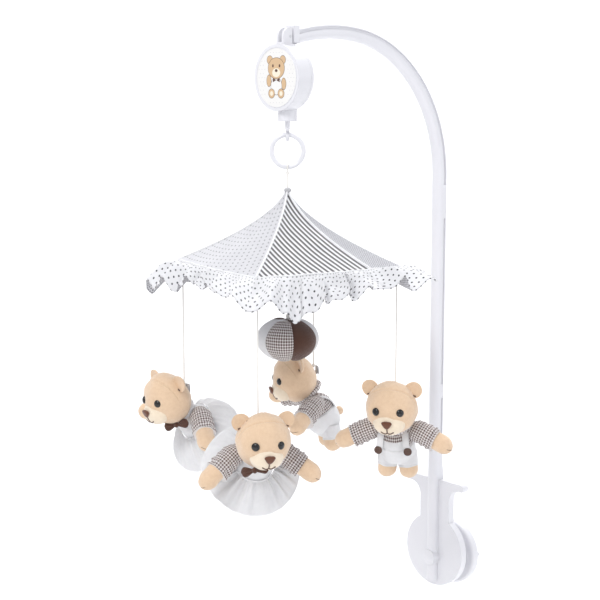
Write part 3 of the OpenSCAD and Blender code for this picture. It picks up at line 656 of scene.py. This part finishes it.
def muzzle(name, m, body):
    def change(p, d):
        p = p + d * groove(p.y, 0.8, 0.7) * smooth((d.x - 0.3) * 3) * smooth((0.2 - d.z) * 4)
        return Vector((p.x, p.y * (1 - 0.22 * max(0, d.z)), p.z))
    at = m @ Matrix.Translation((17.0, 0, -4.0))
    obj = surface(name + "_muzzle", ball_shape((13.0, 16.2, 13.2), change, 0.6, 0.12), 140, 90,
                  (60, 40), ["cream"], body, at)

    def nose_form(p, d):
        return Vector((p.x, p.y * (0.22 + 0.95 * (d.z + 1) / 2), p.z))
    nose = surface(name + "_nose", ball_shape((2.2, 6.2, 4.4), nose_form, 0.2, 0.4, 1.25), 64, 40, (20, 12),
                   ["brown_plush"], body, m @ Matrix.Translation((29.3, 0, 1.0)))
    down = [(muzzle_x(0, z) + 0.1, 0, z) for z in [-2.5 - 0.6 * k for k in range(11)]]
    thread(name + "_stitch_down", down, 0.6, "thread", body, m)
    smile = []
    for k in range(21):
        y = -6.4 + 12.8 * k / 20
        z = -8.2 - 1.9 * math.sin(math.pi * min(1.0, abs(y) / 6.4 + 0.12))
        smile.append((muzzle_x(y, z) + 0.15, y, z))
    thread(name + "_stitch_smile", smile, 0.6, "thread", body, m)


def muzzle_x(y, z):
    k = 1 - (y / 16.2) ** 2 - ((z + 4.0) / 13.2) ** 2
    return 17.0 + 13.0 * math.sqrt(max(0.03, k)) - (0.6 if abs(y) < 1.2 else 0.1)


def eye(name, side, m, body):
    centre = Vector((18.9, 12.2 * side, 9.4))
    bead = surface(name, ball_shape((2.4, 4.0, 4.0)), 48, 32, (10, 10), ["eye"], body,
                   m @ along(centre, centre * 1.1) @ Matrix.Rotation(rad(90), 4, "Y"))


def ear(name, side, at, body):
    """A rounded, folded ear: hollow at the front, with a stitched crease along its fold."""
    m = at @ Matrix.Translation((1.5, side * 22.0, 20.5)) @ Matrix.Rotation(rad(-44 * side), 4, "X")
    m = m @ Matrix.Rotation(rad(12 * side), 4, "Z")

    def change(p, d):
        rho = math.hypot(p.y / 8.8, p.z / 8.6)
        front = smooth(d.x * 3)
        return Vector((p.x - 5.2 * front * max(0.0, 1 - rho * rho) ** 0.7, p.y, p.z))
    obj = surface(name, ball_shape((4.6, 8.8, 8.6), change, 0.4, 0.15), 110, 70, (40, 26), ["plush"], body, m)
    crease = [(1.9 - 1.3 * (1 - (y / 6) ** 2), y, -2.6 - 2.2 * (1 - (y / 6) ** 2)) for y in
              [-6 + 0.6 * k for k in range(21)]]
    thread(name + "_crease", crease, 0.65, "thread", body, m)


# Where a paw is when it isn't in the usual place; the key is the bear and its side.
PAWS = {
    ("left", -1): Vector((13, -52, -37)),
    ("back", 1): Vector((31, 47, -57)),
    ("back", -1): Vector((30, -49, -42)),
}


def trunk_top(pitch):
    slope = 0.6 * pitch + 18
    return HEAD + 44.2 * Vector((-math.cos(rad(slope)), 0, -math.sin(rad(slope))))


def paw_route(name, side, pitch):
    out = Vector((0.35, 0.86 * side, 0.38)).normalized()
    paw = PAWS.get((name, side), Vector((9, side * 51, -52)))
    return trunk_top(pitch) + 27.0 * out, paw


def arms(name, at, body, pitch):
    main = None
    for side, word in ((-1, "right"), (1, "left")):
        shoulder, paw = paw_route(name, side, pitch)
        run = (paw - shoulder).normalized()
        start = shoulder - run * 7
        tip = paw + run * 9.6
        length = (tip - start).length

        def arm_radius(t, a):
            slit = smooth((t - 0.82) / 0.18) * groove(math.sin(a) * 9, 1.3, 0.9)
            return max(0.4, (10.0 - 0.8 * math.sin(math.pi * t)) * round_ends(t, length, 11.5) + slit)

        arm = limb("%s_paw_%s" % (name, word), start, tip, arm_radius, ["plush"], body, at,
                   96, 90, bend=(0, 0, 1.2))
        slit_line(name, word, tip, run, body, at)
        cuff = start + (tip - start) * 0.60

        def sleeve_radius(t, a):
            wrinkle = 0.5 * math.sin(9 * t * math.pi + 2 * a) * (0.4 + t) + 0.5 * math.sin(7 * a) * smooth(t * 2 - 1)
            back = smooth(t / 0.3)
            lip = groove((t - 0.90) * 30, 1.0, 0.8)
            return mix(7.5, 11.2, back) + 0.6 * t + wrinkle + lip

        sleeve = limb("%s_sleeve_%s" % (name, word), start - run * 1.5, cuff, sleeve_radius, ["gingham"],
                      body, at, 120, 60, bend=(0, 0, 0.8), size=(70.0, (cuff - start).length + 1.5))
        if main is None:
            main = arm
    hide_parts(name + "_arms")


def slit_line(name, word, tip, run, body, at):
    """The stitched seam that closes the end of a paw."""
    turn = along(tip, tip + run)
    pts = []
    for k in range(17):
        y = -6.2 + 12.4 * k / 16
        pts.append(turn @ Vector((y, 0, -0.2 - 0.095 * y * y)))
    thread("%s_slit_%s" % (name, word), pts, 0.36, "thread", body, at)


def girl_dress(name, at, body):
    pitch = 35.0
    top = trunk_top(pitch)
    axis = Vector((-math.cos(rad(pitch)), 0, -math.sin(rad(pitch))))

    def bodice(t, a):
        length = 46.0
        seam = groove(math.sin(a) * 19, 0.8, 0.6) + groove((t - 0.52) * length, 0.9, 0.9)
        return 19.2 * round_ends(t, length, 19) + seam + 0.4 * math.sin(12 * a) * smooth(t * 2)

    trunk = limb(name + "_bodice", top - axis * 16, top + axis * 30, bodice, ["white_cloth"], body, at,
                 160, 90, size=(120.0, 46.0))
    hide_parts(name + "_body")
    turn = along(top, top + axis)

    def skirt_point(u, v):
        a = 2 * math.pi * u
        r = mix(20.6, 48.3, v ** 0.86)
        z = mix(0.5, 21.0, v ** 1.3)
        r *= 1 - (0.30 if name == "left" else 0.04) * max(0.0, math.sin(a)) * v
        wave = math.sin(17 * a + 1.5 * math.sin(3 * a)) + 0.6 * math.sin(29 * a + math.sin(5 * a))
        deep = 1.7 * math.sin(math.pi * min(1.0, v * 0.9 + 0.1)) ** 0.8 + 0.45 * v
        gather = 0.6 * math.sin(76 * a) * math.exp(-v * 7)
        hem = groove((v - 0.9) * 30, 0.8, 0.35)
        lift = wave * deep + gather + hem
        slow = 2.2 * v * math.sin(3 * a + 0.8)
        return Vector((math.cos(a) * (r + 0.15 * lift + slow * 0.3), math.sin(a) * (r + 0.15 * lift), z + lift + slow))

    skirt = surface(name + "_skirt_sheet", skirt_point, 720, 40, (330.0, 36.0), ["white_cloth"], body,
                    at @ turn, ends=False)
    thicken(skirt, 0.9)
    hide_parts(name + "_skirt")
    waist = [(20.9 * math.cos(rad(k * 3)), 20.9 * math.sin(rad(k * 3)), 0.6) for k in range(121)]
    band = thread(name + "_waist_seam", waist, 0.8, "white_cloth", body, at @ turn)
    edge = [skirt_point(k / 720, 1.0) for k in range(721)]
    hem = thread(name + "_skirt_hem", edge, 0.65, "white_cloth", body, at @ turn)
    collar(name, at, body, ["white_cloth"])
    bow(name, at, body)


def collar(name, at, body, mats):
    """A soft neck ring between head and body."""
    middle = HEAD + Vector((-13.0, 0, -15.0))

    def point(u, v):
        a, b = 2 * math.pi * u, 2 * math.pi * v
        ring = 16.5 + 0.5 * math.sin(11 * a)
        return Vector(((ring + 2.6 * math.cos(b)) * math.cos(a), (ring + 2.6 * math.cos(b)) * math.sin(a),
                       2.8 * math.sin(b)))
    tilt = at @ along(middle, middle + Vector((-0.6, 0, -0.8)))
    obj = surface(name + "_collar", point, 120, 24, (100, 17), mats, body, tilt, ends=False)


def bow(name, at, body):
    centre = HEAD + (Vector((11.5, -11.0, -24.0)) if name == "front" else Vector((-1.0, 13.5, -24.5)))
    m = at @ Matrix.Translation(centre) @ Matrix.Rotation(rad(-28 if name == "front" else 35), 4, "Z")
    m = m @ Matrix.Rotation(rad(14), 4, "X")
    for side, word in ((-1, "a"), (1, "b")):
        def change(p, d, side=side):
            t = (p.y * side / 7.0 + 1) / 2
            pinch = 0.38 + 0.75 * smooth(t)
            crease = 0.5 * math.sin(p.z * 1.3)
            return Vector((p.x * pinch + crease * 0.6, p.y, p.z * pinch))
        loop = surface("%s_bow_%s" % (name, word), ball_shape((2.4, 7.0, 5.6), change, 0.3, 0.2), 64, 40,
                       (30, 18), ["brown_cloth"], body, m @ Matrix.Translation((0, side * 6.6, 0)))
    centre_knot = surface(name + "_bow_knot", ball_shape((2.9, 2.6, 3.0)), 40, 24, (14, 8), ["brown_cloth"],
                          body, m)


def boy_clothes(name, at, body):
    pitch = 60.0
    top = trunk_top(pitch)
    axis = Vector((-math.cos(rad(pitch)), 0, -math.sin(rad(pitch))))
    length = 50.0
    first = top - axis * 19

    def trunk_radius(t, a):
        seam = groove((t - 0.42) * length, 0.9, 0.8) + groove(math.sin(a) * 19, 0.8, 0.4) * smooth(t * 4 - 1.6)
        cloth_step = 0.7 * smooth((t - 0.42) * 30)
        return 18.6 * round_ends(t, length, 19) + seam + cloth_step

    def pick(u, v):
        bib = abs(u - 0.75) < 0.15
        return 1 if v > (0.22 if bib else 0.42) else 0

    trunk = limb(name + "_dungarees", first, top + axis * 31, trunk_radius, ["gingham", "white_cloth"],
                 body, at, 160, 100, pick=pick, size=(118.0, length))
    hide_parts(name + "_body")
    for side, word in ((-1, "right"), (1, "left")):
        strap(name + "_strap_" + word, side, at, body, top)
        leg(name, word, side, at, body)
    collar(name, at, body, ["gingham"])
    tail = top + axis * 14 + Vector((-17.5, 0, 9.5))
    obj = surface(name + "_tail", ball_shape((5.0, 5.0, 5.0), None, 0.5, 0.3), 48, 32, (18, 12), ["plush"],
                  body, at @ Matrix.Translation(tail))


def strap(name, side, at, body, top):
    """A cloth strap over the shoulder, ending in a button on the chest."""
    pts = []
    for k in range(37):
        a = rad(mix(-38, 165, k / 36))
        out = Vector((math.cos(a), 0, math.sin(a)))
        pts.append(top + Vector((0, side * mix(14.5, 8.0, k / 36), -1)) + out * 17.6)
    wide = 3.3

    def point(u, v):
        k = v * 36
        i = min(35, int(k))
        p = pts[i].lerp(pts[i + 1], k - i)
        radial = (p - top - Vector((0, p.y, 0)) + Vector((0, top.y, 0))).normalized()
        across = (u - 0.5) * 2 * wide
        return p + Vector((0, across, 0)) + radial * (0.4 - 0.05 * across * across)
    obj = surface(name, point, 16, 72, (6.6, 60), ["white_cloth"], body, at, wrap=False, ends=False)
    thicken(obj, 1.3, offset=0)
    face = Vector((1, side * 0.2, -0.12)).normalized()
    spot = pts[0] + face * 3.2 + Vector((0, 0, 2.2))
    spot = at @ along(spot, spot + face)

    def button_point(u, v):
        a = 2 * math.pi * u
        r = 4.2 * math.sqrt(max(0.02, v))
        rim = 0.9 if v > 0.72 else 0.35
        hole = 0.35 if abs(r - 1.2) < 0.5 and abs(math.sin(2 * a)) > 0.8 else 0
        return Vector((r * math.cos(a), r * math.sin(a), rim - hole - (1.2 if v > 0.97 else 0)))
    button = surface(name + "_button", button_point, 64, 24, (8, 8), ["button"], body, spot, ends=True)


def leg(name, word, side, at, body):
    start = Vector((-17, side * 9.0, -66))
    end = Vector((-24.2 + 4.5, side * 12.4, -95.5))
    length = (end - start).length

    def leg_radius(t, a):
        pad = 0.9 * smooth((t - 0.7) * 4) * max(0.0, math.cos(a))
        return 9.7 * round_ends(t, length, 9.7) + pad

    foot = limb("%s_foot_%s" % (name, word), start, end, leg_radius, ["plush"], body, at, 80, 60)
    cuff = start + (end - start) * 0.52

    def trouser(t, a):
        return 10.6 + 0.5 * math.sin(6 * a + 5 * t) * t + groove((t - 0.86) * 16, 0.9, 0.5)
    leg_cloth = limb("%s_trouser_%s" % (name, word), start, cuff, trouser, ["white_cloth"], body, at,
                     90, 40, size=(66, 16))
    if side < 0:
        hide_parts(name + "_legs")


def tab(name, at, body):
    """A folded loop of tape sewn behind the head."""
    def point(u, v):
        a = math.pi * v
        return Vector((-3.9 + 0.9 * math.cos(a) * 1.0, (u - 0.5) * 7.6, -9.0 + 8.6 * math.sin(a)))
    obj = surface(name + "_tape", point, 12, 40, (8, 20), ["grey_cloth"], body, at, wrap=False, ends=False)
    thicken(obj, 0.7, offset=0)
    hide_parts(name + "_tab")


def bears():
    for name, turn, end, yaw, kind in BEARS:
        x, y = string_at(turn)
        at = Matrix.Translation((x, y, end)) @ Matrix.Rotation(rad(yaw), 4, "Z")
        body = name + "_bear"
        head(name, at, body)
        arms(name, at, body, 35 if kind == "girl" else 60)
        tab(name, at, body)
        if kind == "girl":
            girl_dress(name, at, body)
        else:
            boy_clothes(name, at, body)


# ---------------------------------------------------------------- plastic and printed face

def dress_cad():
    """Each CAD node that stays in view takes the material of its own slot."""
    slots = {s["node"]: s["material_slot"] for s in frame["record"]["subparts"]}
    for node, obj in frame["nodes"].items():
        if obj.hide_render:
            continue
        obj.data.materials.clear()
        obj.data.materials.append(M.get(slots[node], M["white_plastic"]))


def flat_motif(name, outline, mat, lift):
    """A thin printed shape on the music box's face: outline points are (across, up)."""
    n = len(outline)
    y = FACE_Y - lift
    verts = [(x, y, BOX_Z + z) for x, z in outline] + [(x, y + 0.08, BOX_Z + z) for x, z in outline]
    cx, cz = (sum(p[k] for p in outline) / n for k in (0, 1))
    verts.append((cx, y - 0.02, BOX_Z + cz))
    faces = [(i, (i + 1) % n, 2 * n) for i in range(n)]
    faces += [((i + 1) % n, i, n + i, n + (i + 1) % n) for i in range(n)]
    obj = finish_mesh(name, verts, faces, [mat], "music_box")
    for p in obj.data.polygons:
        p.use_smooth = False
    return obj


def disc(cx, cz, rx, rz=None, n=40):
    rz = rz or rx
    turns = [2 * math.pi * k / n for k in range(n)]
    return [(cx + rx * math.cos(a), cz + rz * math.sin(a)) for a in turns]


def rimmed(name, cx, cz, rx, rz, mat, lift):
    """A printed disc with a thin dark line round it."""
    flat_motif(name + "_line", disc(cx, cz, rx + 0.4, rz + 0.4), "thread", lift - 0.015)
    flat_motif(name, disc(cx, cz, rx, rz), mat, lift)


def printed_face():
    """A plain bear drawn with discs, on a field of small dots."""
    count = 0
    for row in range(-6, 7):
        for col in range(-6, 7):
            x, z = col * 4.3 + (row % 2) * 2.15, row * 4.1
            if math.hypot(x, z) < 27.2 and not (abs(x) < 15.5 and -21.5 < z < 23):
                flat_motif("face_dot_%02d" % count, disc(x, z, 0.38, n=10), "grey_cloth", 0.05)
                count += 1
    for side, word in ((-1, "left"), (1, "right")):
        rimmed("print_ear_" + word, side * 9.6, 17.4, 4.0, 4.0, "muzzle_tan", 0.06)
        rimmed("print_arm_" + word, side * 11.0, -4.6 - side * 1.5, 3.2, 5.6, "muzzle_tan", 0.06)
        rimmed("print_foot_" + word, side * 7.0, -15.6, 4.4, 4.4, "muzzle_tan", 0.12)
        flat_motif("print_sole_" + word, disc(side * 7.0, -15.6, 2.3), "face_cream", 0.14)
        flat_motif("print_eye_" + word, disc(side * 4.9, 11.6, 1.2, 1.6), "thread", 0.14)
        bow = [(side * 5.0, -4.6), (side * 5.0, -0.2), (0, -2.4)][::side]
        flat_motif("print_bow_" + word, bow, "thread", 0.16)
    rimmed("print_body", 0, -8.4, 8.0, 8.4, "print", 0.085)
    rimmed("print_head", 0, 9.2, 12.0, 10.2, "muzzle_tan", 0.11)
    flat_motif("print_muzzle", disc(0, 4.8, 6.0, 4.4), "face_cream", 0.13)
    flat_motif("print_nose", disc(0, 6.9, 2.0, 1.5), "thread", 0.15)
    rim = [(x, FACE_Y - 0.05, BOX_Z + z) for x, z in disc(0, 0, 29.3, n=120)]
    rim.append(rim[0])
    thread("face_rim", rim, 0.35, "box_plastic", "music_box")


# ---------------------------------------------------------------- stage


def floor():
    """A pale paper sweep: flat under the toy, curving up behind it as the camera sees it."""
    view = Vector((-0.7337, 0.6795, 0))
    side = Vector((0.6795, 0.7337, 0))
    half, z, flat, bend, steps = 5.0, -0.11, 1.3, 1.2, 24
    profile = [(-4.0, z)] + [(flat + bend * math.sin(rad(90 * k / steps)),
                              z + bend * (1 - math.cos(rad(90 * k / steps)))) for k in range(steps + 1)]
    profile.append((flat + bend, 5.0))
    verts = [view * d + side * w + Vector((0, 0, h)) for d, h in profile for w in (-half, half)]
    faces = [(2 * k, 2 * k + 1, 2 * k + 3, 2 * k + 2) for k in range(len(profile) - 1)]
    mesh = bpy.data.meshes.new("floor")
    mesh.from_pydata(verts, [], faces)
    for p in mesh.polygons:
        p.use_smooth = True
    s = Shader("floor_paper", rough=0.95)
    s.colour(s.mix(s.noise(2), (0.90, 0.90, 0.905), (0.93, 0.93, 0.93)))
    mesh.materials.append(s.mat)
    obj = bpy.data.objects.new("floor", mesh)
    bpy.context.collection.objects.link(obj)


def area_light(name, place, aim, size, watts, colour=(1, 1, 1)):
    data = bpy.data.lights.new(name, "AREA")
    data.shape, data.size, data.energy, data.color = "DISK", size, watts, colour
    obj = bpy.data.objects.new(name, data)
    bpy.context.collection.objects.link(obj)
    obj.location = place
    obj.rotation_euler = (Vector(aim) - Vector(place)).to_track_quat("-Z", "Y").to_euler()


def studio():
    floor()
    world = bpy.data.worlds.new("studio")
    bpy.context.scene.world = world
    world.use_nodes = True
    sky = world.node_tree.nodes["Background"]
    sky.inputs["Color"].default_value = (0.96, 0.965, 1.0, 1)
    sky.inputs["Strength"].default_value = 0.72
    middle = (0, -0.2, 0.3)
    area_light("key", (0.5, -1.7, 1.7), middle, 0.7, 17)
    area_light("fill", (1.7, 0.4, 0.8), middle, 1.4, 4.5, (0.95, 0.96, 1.0))
    area_light("backdrop", (-0.3, 1.2, 2.4), (-1.4, 1.6, 0.4), 1.6, 40)
    area_light("top", (-0.5, -0.3, 2.0), middle, 1.2, 9)
    bpy.context.scene.view_settings.view_transform = "Standard"


camera()
cords()
canopy()
ball()
bears()
printed_face()
dress_cad()
studio()
